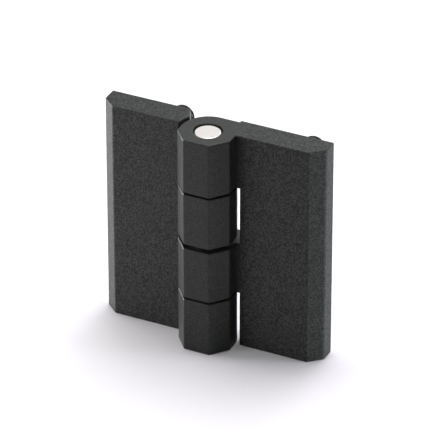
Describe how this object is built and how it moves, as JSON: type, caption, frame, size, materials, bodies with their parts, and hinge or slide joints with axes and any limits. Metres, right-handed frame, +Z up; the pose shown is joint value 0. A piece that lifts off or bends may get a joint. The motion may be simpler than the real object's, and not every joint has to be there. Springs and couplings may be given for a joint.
{
  "type": "leaf hinge with threaded studs",
  "caption": "Die-cast zinc leaf hinge, black textured coating, octagonal interleaved knuckles on a steel pin, cored back with threaded studs.",
  "frame": {"origin": "on the surface that the hinge stands on, in the middle of its box: on the pin's centre line from side to side, and 8.7 mm behind it from front to back", "axes": "+Z up along the pin, +X along the right leaf, +Y out of the back that is bolted on"},
  "size_m": [0.06, 0.031, 0.06],
  "materials": {
    "coated_zinc": "black powder coating, fine texture, semi-matt",
    "pin_steel": "bright turned stainless steel",
    "stud_steel": "black finished steel",
    "bush_plastic": "black bearing plastic"
  },
  "bodies": {
    "right_side": {"right_leaf": "coated_zinc", "hinge_pin": "pin_steel", "right_lower_stud": "stud_steel", "right_upper_stud": "stud_steel"},
    "left_side": {"left_leaf": "coated_zinc", "upper_bush": "bush_plastic", "lower_bush": "bush_plastic", "left_lower_stud": "stud_steel", "left_upper_stud": "stud_steel"}
  },
  "joints": [
    {"name": "hinge_turn", "type": "hinge", "parent": "right_side", "child": "left_side", "pos_m": [0, -0.0087, 0.03], "axis": [0, 0, 1], "range_deg": [-60, 180]}
  ]
}
